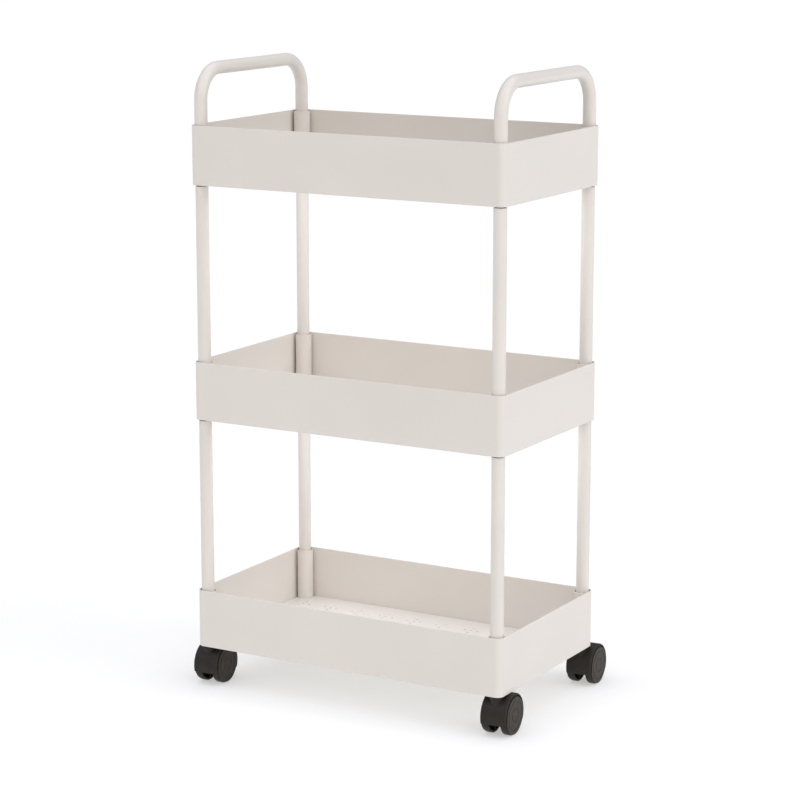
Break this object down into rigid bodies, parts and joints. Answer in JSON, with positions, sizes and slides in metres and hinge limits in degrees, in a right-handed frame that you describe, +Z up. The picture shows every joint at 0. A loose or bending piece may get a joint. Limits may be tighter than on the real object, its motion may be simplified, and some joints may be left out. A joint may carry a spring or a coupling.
{
  "type": "rolling pantry cart",
  "caption": "Tall narrow rolling cart with open sheet-steel trays on tube posts, a bent tube handle over each end and hooded twin-wheel swivel casters.",
  "frame": {"origin": "on the floor, midway between the four caster swivel axes, under the centre of the trays", "axes": "+X along the trays towards the right handle, +Y towards the back, +Z up"},
  "size_m": [0.4459, 0.2845, 0.7796],
  "materials": {
    "powder_coated_steel": "satin powder coat, warm off-white, fine texture",
    "zinc_plated_steel": "bright zinc plating",
    "black_polypropylene": "injection moulded, fine spark texture",
    "black_nylon": "injection moulded, satin"
  },
  "bodies": {
    "cart_frame": {"bottom_tray_walls": "powder_coated_steel", "bottom_tray_floor": "powder_coated_steel", "bottom_tray_front_left_sleeve": "powder_coated_steel", "bottom_tray_front_right_sleeve": "powder_coated_steel", "bottom_tray_back_left_sleeve": "powder_coated_steel", "bottom_tray_back_right_sleeve": "powder_coated_steel", "middle_tray_walls": "powder_coated_steel", "middle_tray_floor": "powder_coated_steel", "middle_tray_front_left_sleeve": "powder_coated_steel", "middle_tray_front_right_sleeve": "powder_coated_steel", "middle_tray_back_left_sleeve": "powder_coated_steel", "middle_tray_back_right_sleeve": "powder_coated_steel", "top_tray_walls": "powder_coated_steel", "top_tray_floor": "powder_coated_steel", "top_tray_front_left_sleeve": "powder_coated_steel", "top_tray_front_right_sleeve": "powder_coated_steel", "top_tray_back_left_sleeve": "powder_coated_steel", "top_tray_back_right_sleeve": "powder_coated_steel", "lower_front_left_post": "powder_coated_steel", "lower_front_right_post": "powder_coated_steel", "lower_back_left_post": "powder_coated_steel", "lower_back_right_post": "powder_coated_steel", "upper_front_left_post": "powder_coated_steel", "upper_front_right_post": "powder_coated_steel", "upper_back_left_post": "powder_coated_steel", "upper_back_right_post": "powder_coated_steel", "left_handle": "powder_coated_steel", "right_handle": "powder_coated_steel", "post_bottom_plugs": "zinc_plated_steel", "handle_plugs": "zinc_plated_steel", "post_top_plugs": "zinc_plated_steel", "joining_studs": "powder_coated_steel", "caster_washers": "zinc_plated_steel", "stem_retaining_rings": "zinc_plated_steel", "front_left_caster_stem": "zinc_plated_steel", "front_right_caster_stem": "zinc_plated_steel", "back_left_caster_stem": "zinc_plated_steel", "back_right_caster_stem": "zinc_plated_steel"},
    "front_left_caster": {"front_left_caster_hood": "black_polypropylene", "front_left_caster_axle": "zinc_plated_steel"},
    "front_left_caster_left_wheel": {"front_left_caster_left_wheel": "black_nylon"},
    "front_left_caster_right_wheel": {"front_left_caster_right_wheel": "black_nylon"},
    "front_right_caster": {"front_right_caster_hood": "black_polypropylene", "front_right_caster_axle": "zinc_plated_steel"},
    "front_right_caster_left_wheel": {"front_right_caster_left_wheel": "black_nylon"},
    "front_right_caster_right_wheel": {"front_right_caster_right_wheel": "black_nylon"},
    "back_left_caster": {"back_left_caster_hood": "black_polypropylene", "back_left_caster_axle": "zinc_plated_steel"},
    "back_left_caster_left_wheel": {"back_left_caster_left_wheel": "black_nylon"},
    "back_left_caster_right_wheel": {"back_left_caster_right_wheel": "black_nylon"},
    "back_right_caster": {"back_right_caster_hood": "black_polypropylene", "back_right_caster_axle": "zinc_plated_steel"},
    "back_right_caster_left_wheel": {"back_right_caster_left_wheel": "black_nylon"},
    "back_right_caster_right_wheel": {"back_right_caster_right_wheel": "black_nylon"}
  },
  "joints": [
    {"name": "front_left_swivel", "type": "hinge", "parent": "cart_frame", "child": "front_left_caster", "pos_m": [-0.2044, -0.1146, 0.041], "axis": [0, 0, 1], "continuous": true},
    {"name": "front_left_left_wheel_spin", "type": "hinge", "parent": "front_left_caster", "child": "front_left_caster_left_wheel", "pos_m": [-0.21782, -0.09928, 0.024], "axis": [0.9986, 0.0523, 0], "continuous": true},
    {"name": "front_left_right_wheel_spin", "type": "hinge", "parent": "front_left_caster", "child": "front_left_caster_right_wheel", "pos_m": [-0.19265, -0.09796, 0.024], "axis": [0.9986, 0.0523, 0], "continuous": true},
    {"name": "front_right_swivel", "type": "hinge", "parent": "cart_frame", "child": "front_right_caster", "pos_m": [0.2044, -0.1146, 0.041], "axis": [0, 0, 1], "continuous": true},
    {"name": "front_right_left_wheel_spin", "type": "hinge", "parent": "front_right_caster", "child": "front_right_caster_left_wheel", "pos_m": [0.19098, -0.09928, 0.024], "axis": [0.9986, 0.0523, 0], "continuous": true},
    {"name": "front_right_right_wheel_spin", "type": "hinge", "parent": "front_right_caster", "child": "front_right_caster_right_wheel", "pos_m": [0.21615, -0.09796, 0.024], "axis": [0.9986, 0.0523, 0], "continuous": true},
    {"name": "back_left_swivel", "type": "hinge", "parent": "cart_frame", "child": "back_left_caster", "pos_m": [-0.2044, 0.1146, 0.041], "axis": [0, 0, 1], "continuous": true},
    {"name": "back_left_left_wheel_spin", "type": "hinge", "parent": "back_left_caster", "child": "back_left_caster_left_wheel", "pos_m": [-0.21782, 0.12992, 0.024], "axis": [0.9986, 0.0523, 0], "continuous": true},
    {"name": "back_left_right_wheel_spin", "type": "hinge", "parent": "back_left_caster", "child": "back_left_caster_right_wheel", "pos_m": [-0.19265, 0.13124, 0.024], "axis": [0.9986, 0.0523, 0], "continuous": true},
    {"name": "back_right_swivel", "type": "hinge", "parent": "cart_frame", "child": "back_right_caster", "pos_m": [0.2044, 0.1146, 0.041], "axis": [0, 0, 1], "continuous": true},
    {"name": "back_right_left_wheel_spin", "type": "hinge", "parent": "back_right_caster", "child": "back_right_caster_left_wheel", "pos_m": [0.19098, 0.12992, 0.024], "axis": [0.9986, 0.0523, 0], "continuous": true},
    {"name": "back_right_right_wheel_spin", "type": "hinge", "parent": "back_right_caster", "child": "back_right_caster_right_wheel", "pos_m": [0.21615, 0.13124, 0.024], "axis": [0.9986, 0.0523, 0], "continuous": true}
  ]
}
